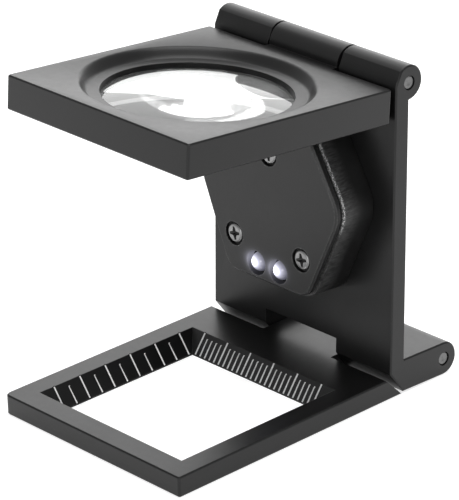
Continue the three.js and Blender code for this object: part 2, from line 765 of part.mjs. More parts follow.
// inner face of the switch body in the flank frame
const SWITCH_OUTER = -CAVITY_INSET - SWITCH_GAP;
const SWITCH_INNER = SWITCH_OUTER - SWITCH_THICK;

function switchParts() {
  const flank = flankFrame();
  const group = new THREE.Group();
  group.position.set(flank.x, flank.y, SWITCH_DEPTH);
  group.rotation.z = flank.turn;
  const slotHalf = (SLIDER_LONG + SLIDE_TRAVEL) / 2 + SLIDE_PLAY;
  const slotTall = SLIDER_TALL / 2 + SLIDE_PLAY;
  const body = block(
    SWITCH_INNER, SWITCH_OUTER, -SWITCH_LONG / 2, SWITCH_LONG / 2,
    -SWITCH_TALL / 2, SWITCH_TALL / 2,
  );
  const channel = block(
    SWITCH_OUTER - SLIDER_ROOT - SLIDE_PLAY, SWITCH_OUTER + 1, -slotHalf, slotHalf,
    -slotTall, slotTall,
  );
  group.add(named('switch_body', carve(body, [], [channel]), finish('#8f9194', 0.4, 0.8)));
  const slider = slab(
    roundedRect(
      SWITCH_OUTER - SLIDER_ROOT, FOOT_FLARE + SLIDER_PROUD,
      -SLIDER_LONG / 2, SLIDER_LONG / 2, 2 * EDGE,
    ),
    -SLIDER_TALL / 2, SLIDER_TALL / 2, EDGE,
  );
  const knob = named('switch_slider', slider, blackPlastic());
  knob.position.y = SLIDE_TRAVEL / 2;
  group.add(knob);
  return group;
}

// point beside the inner face of the switch, `along` the flank
function switchTerminal(along) {
  const flank = flankFrame();
  const inward = SWITCH_INNER - WIRE_R - SMALL_GAP;
  const x = flank.x + inward * Math.cos(flank.turn) - along * Math.sin(flank.turn);
  const y = flank.y + inward * Math.sin(flank.turn) + along * Math.cos(flank.turn);
  return [x, y, SWITCH_DEPTH];
}

// from the switch over the cells and down to the left end of the board
function boardWire() {
  const [x, y, z] = switchTerminal(SWITCH_LONG * 0.32);
  const end = -BOARD_HALF + WIRE_R + 0.2;
  const boardTop = LED_Y + BOARD_ABOVE;
  return wire('wire_switch_board', [
    [x, y, z],
    [x + 0.6, y - 0.9, WIRE_DEPTH - 0.2],
    [-CELL_R * 0.67, CELL_Y, WIRE_DEPTH],
    [end + 0.9, CELL_Y - CELL_R + 0.75, WIRE_DEPTH],
    [end + 0.4, boardTop + 0.3, (WIRE_DEPTH + BOARD_FRONT) / 2 + 0.45],
    [end + 0.15, boardTop - 0.4, BOARD_FRONT + WIRE_R + 0.2],
  ], '#b32020');
}

// from the switch to the upper end of the leaf on the cells
function batteryWire() {
  const [x, y, z] = switchTerminal(-SWITCH_LONG * 0.17);
  const leafTop = CELL_Y + SPRING_REACH;
  return wire('wire_switch_battery', [
    [x, y, z],
    [x + 0.6, y - 0.7, WIRE_DEPTH - 0.2],
    [-2, leafTop + 1.1, WIRE_DEPTH],
    [0.9, leafTop + 0.7, WIRE_DEPTH],
    [SPRING_SIDE, leafTop + 0.6, WIRE_DEPTH],
  ], '#1b1b1d');
}

function lampHousing() {
  const group = new THREE.Group();
  group.position.set(0, FRONT_FACE - SMALL_GAP, HOUSING_LEVEL);
  group.rotation.x = Math.PI / 2;
  group.add(housingBody());
  group.add(housingCover());
  const turns = [24, 8, 40];
  coverScrewPlaces.forEach(([name, x, y], i) => group.add(coverScrew(name, x, y, turns[i])));
  group.add(mountScrew('housing_screw_left', -1));
  group.add(mountScrew('housing_screw_right', 1));
  group.add(ledBody('led_left', -1));
  group.add(ledBody('led_right', 1));
  leadPlaces.forEach(([name, x]) => group.add(ledLead(name, x)));
  group.add(circuitBoard());
  group.add(resistor());
  group.add(coinCell('coin_cell_rear', REAR_CELL));
  group.add(coinCell('coin_cell_front', FRONT_CELL));
  group.add(rearContact());
  group.add(frontContact());
  group.add(boardWire());
  group.add(batteryWire());
  group.add(switchParts());
  return group;
}

// ------------------------------------------------------------------ lens plate
function lensPlate() {
  const plan = roundedRect(-HALF, HALF, -PLATE_REACH, -PLATE_SETBACK, CORNER);
  const plate = slab(plan, PLATE_LOW, PLATE_TOP, EDGE);
  const bridge = block(
    -HALF_TOP_KNUCKLE, HALF_TOP_KNUCKLE, -PLATE_SETBACK - 1, 0, -TOP_KNUCKLE_R, PLATE_TOP,
  );
  const knuckle = rodAcross(TOP_KNUCKLE_R, -HALF_TOP_KNUCKLE, HALF_TOP_KNUCKLE, 0, 0);
  const cove = [];
  for (let i = 0; i <= COVE_STEPS; i += 1) {
    const share = i / COVE_STEPS;
    const rise = DISH_DEPTH * THREE.MathUtils.smoothstep(share, 0, 1);
    cove.push([DISH_FLAT_R + DISH_COVE * share, DISH_FLOOR + rise]);
  }
  const dish = turnedSolid([
    [0, DISH_FLOOR],
    ...cove,
    [DISH_R, PLATE_TOP + 1],
    [0, PLATE_TOP + 1],
  ], 56);
  const opening = post(OPENING_R, 0, 0, PLATE_LOW - 1, PLATE_TOP, 56);
  const seat = post(LENS_R + LENS_PLAY, 0, 0, PLATE_LOW - 1, DISH_FLOOR - LIP, 56);
  const cuts = [dish, opening, seat];
  cuts.forEach((cut) => cut.translate(0, LENS_Y, 0));
  cuts.push(rodAcross(BORE_R, -FAR, FAR, 0, 0));
  return named('lens_plate', carve(plate, [bridge, knuckle], cuts), blackMetal());
}

// half profile of one lens face, from the middle out to the edge
function lensFace(middle, edge, steps) {
  const points = [];
  for (let i = 0; i <= steps; i += 1) {
    const r = (LENS_R * i) / steps;
    const share = 1 - (r / LENS_R) ** 2;
    points.push([r, edge + (middle - edge) * share]);
  }
  return points;
}

function lens() {
  const lowFace = lensFace(LENS_LOW - LENS_SAG, LENS_LOW, 6);
  const topFace = lensFace(LENS_TOP + LENS_SAG, LENS_TOP, 6).reverse();
  const glass = turnedSolid([...lowFace, ...topFace], 56);
  const clear = finish('#f2f6f5', 0.02, 0, { transparent: true, opacity: 0.25 });
  const mesh = named('lens', glass, clear);
  mesh.position.y = LENS_Y;
  return mesh;
}

function lensRing() {
  const low = PLATE_LOW + RING_INSET;
  const high = LENS_LOW - RING_GAP;
  const ring = turned([
    [LENS_R - RING_WALL, low],
    [LENS_R, low],
    [LENS_R, high],
    [LENS_R - RING_WALL, high],
  ], 56);
  const mesh = named('lens_retaining_ring', ring, blackPlastic());
  mesh.position.y = LENS_Y;
  return mesh;
}

// -------------------------------------------------------------------- assembly
function lensGroup() {
  const group = new THREE.Group();
  group.position.set(0, TOP_PIN_Y, PIN_SPACING);
  group.rotation.x = -THREE.MathUtils.degToRad(LENS_TILT);
  group.add(lensPlate());
  group.add(lens());
  group.add(lensRing());
  return group;
}

function uprightGroup() {
  const group = new THREE.Group();
  group.position.set(0, KNUCKLE_Y, KNUCKLE_R);
  group.rotation.x = -THREE.MathUtils.degToRad(LEAN);
  group.add(uprightFrame());
  group.add(hingePin('lens_hinge_pin', TOP_PIN_Y, PIN_SPACING));
  group.add(lampHousing());
  group.add(lensGroup());
  return group;
}

function magnifier() {
  const base = new THREE.Group();
  base.position.y = -MIDDLE_Y;
  base.add(baseFrame());
  base.add(hingePin('base_hinge_pin', KNUCKLE_Y, KNUCKLE_R));
  base.add(uprightGroup());
  const root = new THREE.Group();
  root.name = 'folding_magnifier';
  root.add(base);
  return root;
}

export default magnifier();
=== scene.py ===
"""Looks of the folding magnifier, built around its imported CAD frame."""
import math

import bmesh
import bpy
from mathutils import Matrix, Vector


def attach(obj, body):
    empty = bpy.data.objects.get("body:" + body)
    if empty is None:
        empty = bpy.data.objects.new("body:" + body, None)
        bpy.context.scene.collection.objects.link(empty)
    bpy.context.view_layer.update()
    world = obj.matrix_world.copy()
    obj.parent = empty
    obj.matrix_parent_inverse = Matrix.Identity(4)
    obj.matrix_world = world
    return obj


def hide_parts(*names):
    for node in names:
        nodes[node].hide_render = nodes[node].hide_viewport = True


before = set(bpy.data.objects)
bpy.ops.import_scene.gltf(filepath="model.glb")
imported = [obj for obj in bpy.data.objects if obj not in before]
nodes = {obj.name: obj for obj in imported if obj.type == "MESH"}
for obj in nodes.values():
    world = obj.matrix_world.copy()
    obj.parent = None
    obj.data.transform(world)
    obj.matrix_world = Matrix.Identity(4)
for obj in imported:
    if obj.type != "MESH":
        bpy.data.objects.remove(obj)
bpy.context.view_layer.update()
scene = bpy.context.scene

# ------------------------------------------------------------------ dimensions
# millimetres and degrees, as in the CAD source

MM = 0.001

# places of the groups: MIDDLE_Y is where the frame's origin lies in the base's own Y
MIDDLE_Y = 9.04715
KNUCKLE_Y = 34.5943
KNUCKLE_R = 2.6
LEAN = 1.83
LENS_TILT = 3.25
TOP_PIN_Y = -8.72
PIN_SPACING = 45.95
FRONT_FACE = -11.37
SMALL_GAP = 0.05
HALF_WIDTH = 18.85

# lamp housing: height of its middle on the upright, then how far its front rim and the face of
# its cover lie in front of its back
HOUSING_LEVEL = 26.7
HOUSING_RIM = 5.7
COVER_FACE = 7

# heights above the floor between which the lighter specks on the housing's front rim fade in; kept
# to the upper part, they are partly worn edges and partly a painted highlight
LIT_RIM_LOW = 26
LIT_RIM_HIGH = 28.5
# distances in front of the housing's back between which the strokes on its sides fade in
STROKES_BACK = 2.5
STROKES_FRONT = HOUSING_RIM - 0.5

# lens: middle, radius, heights of the edges of its two faces, how far each face bulges, and the
# chamfer at the rim; faces nearer than GROUND_REACH to the rim are ground
LENS_Y = -23.5
LENS_R = 14.3
LENS_LOW = -3.82
LENS_TOP = -2.82
LENS_SAG = 1.75
LENS_RIM = 0.12
LENS_RIM_SLOPE = 0.03
LENS_STEPS = 16
LENS_SEGMENTS = 128
GROUND_REACH = 0.05

# window and engraved scales
WINDOW = 26.2
BEVEL_RUN = 2.2
BEVEL_DROP = 2.95
LIP_HIGH = 0.25
TICK_WIDTH = 0.32
TICK_DEPTH = 0.1
SHORT_TICK = 0.8
LONG_TICK_END = 0.06
SCALE_LONG = 25

# white paint in an engraved line, laid along one wall and round its end: the paint is the scale's
# own, its one-sided shape a painted highlight of the lit wall
PAINT_WIDTH = 0.24
PAINT_START = 0.06
PAINT_INSET = 0.015
PAINT_LOW = 0.01 - TICK_DEPTH
PAINT_HIGH = -0.02
HOOK_WIDTH = 0.14
HOOK_END = 160
HOOK_STEPS = 8

# lamps: height and edges of the flange, and how much narrower the dome is
FLANGE_HIGH = 0.7
FLANGE_BEVEL = 0.06
FLANGE_LIP = 0.1
FLANGE_STEP = 0.02
DOME_STEPS = 12

# hinge pins: (radius, depth below the end) from the dimple outwards
PIN_R = 1
PIN_END = 0.15
PIN_PROFILE = ((0, 0.1), (0.28, 0.1), (0.42, 0.02), (0.5, 0), (0.82, 0),
               (0.9, 0.02), (0.98, 0.12), (PIN_R, 0.2))

# cover screws, with (depth below the head, scale) of the rings of the cross recess
SCREW_SEAT = COVER_FACE - 0.65
SCREW_R = 1.5
SCREW_HEAD = 0.6
SCREW_LONG = 4.2
SCREW_SHANK = 0.62
SCREW_TIP = 0.3
SCREW_NECK = 0.3
SCREW_THREADS = 9
THREAD_DEPTH = 0.1
THREAD_START = 0.5
THREAD_LONG = SCREW_LONG - 0.9
THREAD_CREST = 0.16
SCREW_TURN = 12
HEAD_PROFILE = ((SCREW_R - 0.08, 0), (SCREW_R, 0.07), (SCREW_R, 0.3), (SCREW_R - 0.03, 0.4),
                (SCREW_R - 0.1, 0.49), (SCREW_R - 0.22, 0.56), (SCREW_R - 0.4, SCREW_HEAD))
RECESS_RINGS = ((0, 1), (0.12, 0.86), (0.5, 0.5))
RECESS_ARM = ((0.34, 0.34), (0.27, 0.62), (0.19, 1.04), (-0.19, 1.04), (-0.27, 0.62))

ROUND_SEGMENTS = 48
ON_AXIS = 1e-6
WELD = 0.002

# ---------------------------------------------------------------------- lights
# glow of the lit lamps, their own light on the domes and painted glow on the cover around them:
# emission is STRENGTH times exp(PEAK - FALL * distance), and at most STRENGTH. STRETCH weighs each
# axis of the distance, and ASIDE is from the dome's tip to the middle of the glow, in the housing's
# millimetres
GLOW_STRENGTH = 3.0
GLOW_PEAK = 1.2
GLOW_FALL = 3.2
GLOW_STRETCH = (0.72, 0.3, 0.95)
GLOW_ASIDE = (-0.35, 0.15, -0.15)
GLOW_COLOUR = (0.82, 0.82, 1.0, 1)

WORLD_LIGHT = 0.6
FLOOR_LIGHT = 0.65
FLOOR_HALF = 1.6
FLOOR_BELOW = 0.02

# name, place and target in metres, width and height in metres, watts
AREA_LIGHTS = (
    ("top_light", (0.05, 0.08, 0.7), (0, 0, 0.02), (0.5, 0.5), 3.0),
    ("back_light", (-0.56, 0.57, 0.22), (0, 0, 0.03), (0.8, 0.36), 1.75),
    ("sky_light", (-0.42, 0.38, 0.5), (0, 0, 0.03), (0.6, 0.45), 1.1),
    ("front_light", (0.42, -0.62, 0.27), (0, 0, 0.03), (0.3, 0.3), 1.7),
)

# camera: place in the base's millimetres, and the angles it is seen from; azimuth 0 looks along
# +Y, and roll turns the camera about its own axis
CAMERA_PLACE = (333.488, -300.623, 229.037)
CAMERA_AZIMUTH = 47.1109
CAMERA_ELEVATION = 24.3695
CAMERA_ROLL = -1.5047
FOCAL_LENGTH = 247.3
SENSOR_WIDTH = 36
CLIP_NEAR = 0.01
CLIP_FAR = 10

# places of the moving groups at rest, from their own millimetres to the frame's metres
TO_METRES = Matrix.Scale(MM, 4)
BASE = TO_METRES @ Matrix.Translation((0, -MIDDLE_Y, 0))
UPRIGHT = BASE @ Matrix.Translation((0, KNUCKLE_Y, KNUCKLE_R)) \
    @ Matrix.Rotation(-math.radians(LEAN), 4, "X")
LAMP = UPRIGHT @ Matrix.Translation((0, FRONT_FACE - SMALL_GAP, HOUSING_LEVEL)) \
    @ Matrix.Rotation(math.radians(90), 4, "X")
LENS = UPRIGHT @ Matrix.Translation((0, TOP_PIN_Y, PIN_SPACING)) \
    @ Matrix.Rotation(-math.radians(LENS_TILT), 4, "X")


# ---------------------------------------------------------------------- camera
def make_camera():
    data = bpy.data.cameras.new("camera")
    data.sensor_fit = "AUTO"
    data.sensor_width = SENSOR_WIDTH
    data.lens = FOCAL_LENGTH
    data.clip_start = CLIP_NEAR
    data.clip_end = CLIP_FAR
    camera = bpy.data.objects.new("camera", data)
    scene.collection.objects.link(camera)
    camera.location = BASE @ Vector(CAMERA_PLACE)
    turn = Matrix.Rotation(math.radians(CAMERA_AZIMUTH), 3, "Z") \
        @ Matrix.Rotation(math.radians(90 - CAMERA_ELEVATION), 3, "X") \
        @ Matrix.Rotation(math.radians(CAMERA_ROLL), 3, "Z")
    camera.rotation_euler = turn.to_euler()
    scene.camera = camera


# ------------------------------------------------------------------ node helpers
class Nodes:
    """A new material with its node tree, measured in millimetres of the rest frame."""

    def __init__(self, name):
        self.material = bpy.data.materials.new(name)
        self.material.use_nodes = True
        self.tree = self.material.node_tree
        self.tree.nodes.clear()
        self.output = self.add("ShaderNodeOutputMaterial")
        self.shader = self.add("ShaderNodeBsdfPrincipled")
        self.link(self.shader.outputs["BSDF"], self.output.inputs["Surface"])
        coordinates = self.add("ShaderNodeTexCoord")
        scale = self.add("ShaderNodeMapping")
        scale.inputs["Scale"].default_value = (1 / MM, 1 / MM, 1 / MM)
        self.link(coordinates.outputs["Object"], scale.inputs["Vector"])
        self.place = scale.outputs["Vector"]

    def add(self, kind, **settings):
        """New node, with its properties set."""
        node = self.tree.nodes.new(kind)
        for key, value in settings.items():
            setattr(node, key, value)
        return node

    def link(self, a, b):
        self.tree.links.new(a, b)

    def noise(self, scale, detail, rough=0.5, stretch=None):
        """Noise with `scale` cells per millimetre, on axes weighed by `stretch`."""
        node = self.add("ShaderNodeTexNoise")
        node.inputs["Scale"].default_value = scale
        node.inputs["Detail"].default_value = detail
        node.inputs["Roughness"].default_value = rough
        place = self.place
        if stretch:
            mapping = self.add("ShaderNodeMapping")
            mapping.inputs["Scale"].default_value = stretch
            self.link(place, mapping.inputs["Vector"])
            place = mapping.outputs["Vector"]
        self.link(place, node.inputs["Vector"])
        return node.outputs["Fac"]

    def ramp(self, value, low, high, out_low=0.0, out_high=1.0):
        """`value` moved from low..high to out_low..out_high, and kept between them."""
        node = self.add("ShaderNodeMapRange")
        node.inputs["From Min"].default_value = low
        node.inputs["From Max"].default_value = high
        node.inputs["To Min"].default_value = out_low
        node.inputs["To Max"].default_value = out_high
        self.link(value, node.inputs["Value"])
        return node.outputs["Result"]

    def math(self, operation, a, b=0.0):
        """Result of a Math node, whose inputs are numbers or other nodes' outputs."""
        node = self.add("ShaderNodeMath", operation=operation)
        for socket, value in zip(node.inputs, (a, b)):
            if isinstance(value, (int, float)):
                socket.default_value = value
            else:
                self.link(value, socket)
        return node.outputs["Value"]

    def mix(self, factor, a, b):
        """Colour `a` at factor 0 and `b` at 1."""
        node = self.add("ShaderNodeMix", data_type="RGBA")
        self.link(factor, node.inputs["Factor"])
        for socket, value in ((node.inputs["A"], a), (node.inputs["B"], b)):
            if isinstance(value, tuple):
                socket.default_value = value
            else:
                self.link(value, socket)
        return node.outputs["Result"]

    def bump(self, height, strength, distance, before=None):
        """Normal bumped by `height`, `distance` millimetres deep."""
        node = self.add("ShaderNodeBump")
        node.inputs["Strength"].default_value = strength
        node.inputs["Distance"].default_value = distance * MM
        self.link(height, node.inputs["Height"])
        if before is not None:
            self.link(before, node.inputs["Normal"])
        return node.outputs["Normal"]

    def edges(self, radius, low, high):
        """1 along sharp edges, fading over `radius` millimetres; low and high are the turns of
        the normal (1 - cosine) where it starts and is full."""
        bevel = self.add("ShaderNodeBevel", samples=6)
        bevel.inputs["Radius"].default_value = radius * MM
        geometry = self.add("ShaderNodeNewGeometry")
        dot = self.add("ShaderNodeVectorMath", operation="DOT_PRODUCT")
        self.link(bevel.outputs["Normal"], dot.inputs[0])
        self.link(geometry.outputs["Normal"], dot.inputs[1])
        away = self.math("SUBTRACT", 1.0, dot.outputs["Value"])
        return self.ramp(away, low, high)

    def distance(self, point, stretch):
        """Millimetres from a point of the rest frame, each axis weighed by `stretch`."""
        away = self.add("ShaderNodeVectorMath", operation="SUBTRACT")
        self.link(self.place, away.inputs[0])
        away.inputs[1].default_value = point / MM
        scaled = self.add("ShaderNodeVectorMath", operation="MULTIPLY")
        self.link(away.outputs["Vector"], scaled.inputs[0])
        scaled.inputs[1].default_value = stretch
        length = self.add("ShaderNodeVectorMath", operation="LENGTH")
        self.link(scaled.outputs["Vector"], length.inputs[0])
        return length.outputs["Value"]

    def soft_edges(self, radius):
        """Normal rounded over sharp edges, as paint and tumbling leave them."""
        bevel = self.add("ShaderNodeBevel", samples=4)
        bevel.inputs["Radius"].default_value = radius * MM
        return bevel.outputs["Normal"]

    def set(self, **values):
        """Plain values on the shader's own sockets, with _ for a space in the name."""
        for key, value in values.items():
            self.shader.inputs[key.replace("_", " ")].default_value = value

    def drive(self, socket, value):
        """A node's output on one of the shader's sockets."""
        self.link(value, self.shader.inputs[socket])


def gray(value):
    return (value, value, value, 1)


# -------------------------------------------------------------------- materials
def black_metal():
    """Satin black painted plate: fine grain, faint clouds, and edges lighter in patches, partly worn
    and partly a painted highlight.
    """
    m = Nodes("satin_black_metal")
    cloud = m.noise(0.12, 4)
    fine = m.noise(9.0, 3, 0.6)
    streak = m.noise(0.9, 5, 0.65)
    # edges lighter in patches: partly worn, partly a painted highlight along them
    edge_wear_and_highlight = m.math("MULTIPLY", m.edges(0.2, 0.03, 0.3), m.ramp(m.noise(0.8, 4), 0.45, 0.75))
    base = m.mix(m.ramp(cloud, 0.35, 0.65), gray(0.0032), (0.0046, 0.0046, 0.0048, 1))
    m.drive("Base Color", m.mix(m.math("MULTIPLY", edge_wear_and_highlight, 0.35), base, (0.11, 0.108, 0.104, 1)))
    rough = m.math("ADD", m.ramp(cloud, 0.3, 0.7, 0.3, 0.34), m.ramp(streak, 0.3, 0.75, 0, 0.05))
    m.drive("Roughness", rough)
    m.set(Metallic=0.0, Specular_IOR_Level=0.33, IOR=1.5)
    m.drive("Normal", m.bump(fine, 0.16, 0.012, m.soft_edges(0.12)))
    return m.material


def lamp_glow(m):
    """Bluish white emission around the lit lamps, which fades exponentially with distance: the
    lamps' own light on their domes, and painted glow on the cover.
    """
    glow = None
    for lamp in LAMPS:
        away = m.math("MULTIPLY", m.distance(lamp, GLOW_STRETCH), -GLOW_FALL)
        near = m.math("EXPONENT", m.math("ADD", away, GLOW_PEAK))
        glow = near if glow is None else m.math("ADD", glow, near)
    m.drive("Emission Color", m.mix(m.math("MINIMUM", glow, 1.0), gray(0), GLOW_COLOUR))
    m.set(Emission_Strength=GLOW_STRENGTH)


def plastic_base(name):
    """Moulded black plastic with a spark-eroded texture, and its plain colour."""
    m = Nodes(name)
    cloud = m.noise(0.3, 3)
    fine = m.noise(7.0, 4, 0.7)
    pits = m.noise(2.6, 2, 0.5)
    m.drive("Roughness", m.math("ADD", m.ramp(cloud, 0.3, 0.7, 0.36, 0.42),
                                m.ramp(pits, 0.3, 0.7, 0, 0.06)))
    m.set(Specular_IOR_Level=0.36)
    normal = m.bump(pits, 0.1, 0.02, m.soft_edges(0.15))
    m.drive("Normal", m.bump(fine, 0.25, 0.015, normal))
    return m, m.mix(m.ramp(cloud, 0.35, 0.65), gray(0.0035), gray(0.0055))


def speckled_edge_wear_and_highlight(m, reach):
    """Edges lighter in specks: partly worn edges, partly a painted highlight along them."""
    speckle = m.ramp(m.noise(3.4, 3, 0.7), 0.42, 0.6, 0.2, 1)
    return m.math("MULTIPLY", m.edges(reach, 0.01, 0.07), speckle)


def cover_plastic():
    """Cover of the lamp, with painted glow around its lamps."""
    m, base = plastic_base("moulded_black_cover")
    # edges lighter in specks, partly worn and partly a painted highlight
    m.drive("Base Color", m.mix(speckled_edge_wear_and_highlight(m, 0.35), base, gray(0.07)))
    # painted glow: the cover gives off light around the lamps
    lamp_glow(m)
    return m.material


def housing_plastic():
    """Housing whose front rim is lighter in specks above its widest corners, partly worn and partly
    a painted highlight, with lighter fine strokes on its sides that fade out towards the back.
    """
    m, base = plastic_base("moulded_black_housing")
    axes = m.add("ShaderNodeSeparateXYZ")
    m.link(m.place, axes.inputs["Vector"])
    back, rim = ((LAMP @ Vector((0, 0, depth))).y / MM
                 for depth in (STROKES_BACK, STROKES_FRONT))
    front = m.ramp(axes.outputs["Y"], back, rim, 0.0, 1.0)
    high = m.ramp(axes.outputs["Z"], LIT_RIM_LOW, LIT_RIM_HIGH, 0.0, 1.0)
    strokes = m.ramp(m.noise(3.2, 5, 0.7, (1, 0.2, 1)), 0.36, 0.72)
    # lighter strokes on the sides, fading out towards the back
    strokes_near_rim = m.math("MULTIPLY", strokes, front)
    side = m.mix(strokes_near_rim, base, gray(0.07))
    specks = m.ramp(m.noise(4.5, 3, 0.6), 0.47, 0.57, 0.04, 1)
    edge_wear_and_highlight = m.math("MULTIPLY", m.edges(0.7, 0.006, 0.05), specks)
    # painted highlight: the rim's lighter specks only on its upper front, where the light falls
    lit_upper_rim = m.math("MULTIPLY", front, high)
    m.drive("Base Color", m.mix(m.math("MULTIPLY", edge_wear_and_highlight, lit_upper_rim), side, gray(0.6)))
    return m.material


def ring_plastic():
    """Plain moulding, as of the retaining ring and the switch."""
    m, base = plastic_base("moulded_black_plastic")
    # edges lighter in specks, partly worn and partly a painted highlight
    m.drive("Base Color", m.mix(speckled_edge_wear_and_highlight(m, 0.3), base, gray(0.04)))
    return m.material


def metal(name, tint, rough):
    """Bare metal with fine marks."""
    m = Nodes(name)
    lines = m.noise(5.0, 5, 0.7)
    cloud = m.noise(1.1, 3)
    dark = tuple(v * 0.72 for v in tint) + (1,)
    m.drive("Base Color", m.mix(m.ramp(lines, 0.3, 0.7), dark, tuple(tint) + (1,)))
    m.drive("Roughness", m.math("ADD", m.ramp(cloud, 0.3, 0.7, rough, rough + 0.08),
                                m.ramp(lines, 0.3, 0.7, 0, 0.08)))
    m.set(Metallic=1.0)
    m.drive("Normal", m.bump(lines, 0.12, 0.01))
    return m.material


def white_paint(name, low, high):
    """Patchy paint between two brightnesses."""
    m = Nodes(name)
    patchy = m.noise(4.0, 4, 0.7)
    m.drive("Base Color", m.mix(m.ramp(patchy, 0.3, 0.7), gray(low), gray(high)))
    m.drive("Roughness", m.ramp(patchy, 0.3, 0.7, 0.5, 0.65))
    m.drive("Normal", m.bump(patchy, 0.2, 0.02))
    return m.material


def lens_glass():
    """Clear polished glass with the faintest unevenness of its polish."""
    m = Nodes("polished_glass")
    polish = m.noise(0.5, 2)
    m.set(Base_Color=(0.985, 0.995, 0.99, 1), Transmission_Weight=0.95, IOR=1.52)
    m.drive("Roughness", m.ramp(polish, 0.3, 0.7, 0.0, 0.012))
    return m.material


def ground_glass():
    """Ground rim of the lens."""
    m = Nodes("ground_glass_edge")
    grain = m.noise(8.0, 3, 0.6)
    m.drive("Base Color", m.mix(m.ramp(grain, 0.3, 0.7), gray(0.5), gray(0.66)))
    m.drive("Roughness", m.ramp(grain, 0.3, 0.7, 0.6, 0.8))
    m.drive("Normal", m.bump(grain, 0.3, 0.02))
    return m.material


def led_epoxy():
    """Epoxy dome lit from inside."""
    m = Nodes("led_epoxy")
    haze = m.noise(1.5, 2)
    lamp_glow(m)
    m.drive("Base Color", m.mix(m.ramp(haze, 0.3, 0.7),
                                (0.02, 0.02, 0.035, 1), (0.035, 0.035, 0.06, 1)))
    m.drive("Roughness", m.ramp(haze, 0.3, 0.7, 0.08, 0.16))
    return m.material


def plain(name, low, high, rough, grain=3.0):
    """Two tones of one colour, for the small pieces in the lamp, and for the painted shade in the
    screws' recesses.
    """
    m = Nodes(name)
    value = m.noise(grain, 4, 0.6)
    m.drive("Base Color", m.mix(m.ramp(value, 0.3, 0.7), low, high))
    m.drive("Roughness", m.ramp(value, 0.3, 0.7, rough, rough + 0.1))
    m.drive("Normal", m.bump(value, 0.15, 0.02))
    return m.material


def floor_paper():
    """White paper on a light table."""
    m = Nodes("floor_paper")
    fibre = m.noise(0.4, 4)
    paper = m.mix(m.ramp(fibre, 0.3, 0.7), gray(0.6), gray(0.63))
    m.drive("Base Color", paper)
    m.drive("Roughness", m.ramp(fibre, 0.3, 0.7, 0.85, 0.9))
    m.set(Emission_Color=(1, 1, 1, 1), Emission_Strength=FLOOR_LIGHT)
    return m.material


# --------------------------------------------------------------- mesh helpers
def new_piece(name, mesh_data, place, body, materials, smooth):
    """Mesh drawn in millimetres, moved to its place, riding on a CAD body, and shaded smooth
    up to an angle."""
    mesh = bpy.data.meshes.new(name)
    mesh_data.to_mesh(mesh)
    mesh_data.free()
    mesh.transform(place)
    for material in materials:
        mesh.materials.append(material)
    piece = bpy.data.objects.new(name, mesh)
    scene.collection.objects.link(piece)
    mesh.shade_smooth()
    mesh.set_sharp_from_angle(angle=math.radians(smooth))
    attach(piece, body)
    return piece


def turned(points, segments):
    """Turned surface about Z from (radius, height) points, closed where they meet the axis."""
    mesh = bmesh.new()
    rings = []
    for r, z in points:
        if r < ON_AXIS:
            rings.append([mesh.verts.new((0, 0, z))])
        else:
            rings.append([
                mesh.verts.new((r * math.cos(t), r * math.sin(t), z))
                for t in (2 * math.pi * i / segments for i in range(segments))
            ])
    for low, high in zip(rings, rings[1:]):
        for i in range(segments):
            j = (i + 1) % segments
            quad = [low[i % len(low)], low[j % len(low)], high[j % len(high)], high[i % len(high)]]
            quad = [v for n, v in enumerate(quad) if v not in quad[:n]]
            if len(quad) > 2:
                mesh.faces.new(quad)
    bmesh.ops.recalc_face_normals(mesh, faces=mesh.faces)
    return mesh


def smooth_by_angle(name, degrees):
    """Modifier that welds a carried-over CAD mesh and shades it smooth up to an angle."""
    group = bpy.data.node_groups.new(name, "GeometryNodeTree")
    group.interface.new_socket("Geometry", in_out="INPUT", socket_type="NodeSocketGeometry")
    group.interface.new_socket("Geometry", in_out="OUTPUT", socket_type="NodeSocketGeometry")
    start = group.nodes.new("NodeGroupInput")
    end = group.nodes.new("NodeGroupOutput")
    weld = group.nodes.new("GeometryNodeMergeByDistance")
    weld.inputs["Distance"].default_value = WELD * MM
    faces = group.nodes.new("GeometryNodeSetShadeSmooth")
    edges = group.nodes.new("GeometryNodeSetShadeSmooth")
    edges.domain = "EDGE"
    angle = group.nodes.new("GeometryNodeInputMeshEdgeAngle")
    sharp = group.nodes.new("FunctionNodeCompare")
    sharp.operation = "GREATER_THAN"
    sharp.inputs[1].default_value = math.radians(degrees)
    group.links.new(start.outputs[0], weld.inputs["Geometry"])
    group.links.new(weld.outputs["Geometry"], faces.inputs["Geometry"])
    group.links.new(angle.outputs["Unsigned Angle"], sharp.inputs[0])
    group.links.new(sharp.outputs["Result"], edges.inputs["Selection"])
    edges.inputs["Shade Smooth"].default_value = False
    group.links.new(faces.outputs["Geometry"], edges.inputs["Geometry"])
    group.links.new(edges.outputs["Geometry"], end.inputs[0])
    return group


def local_box(name, place):
    """Lowest and highest corner of a CAD node in a group's own millimetres."""
    inverse = place.inverted()
    points = [inverse @ v.co for v in nodes[name].data.vertices]
    low = Vector([min(p[i] for p in points) for i in range(3)])
    high = Vector([max(p[i] for p in points) for i in range(3)])
    return low, high


make_camera()
METAL = black_metal()
PLASTIC = ring_plastic()
STEEL = metal("turned_steel", (0.2, 0.2, 0.2), 0.4)
ZINC = metal("dull_zinc", (0.27, 0.27, 0.27), 0.26)
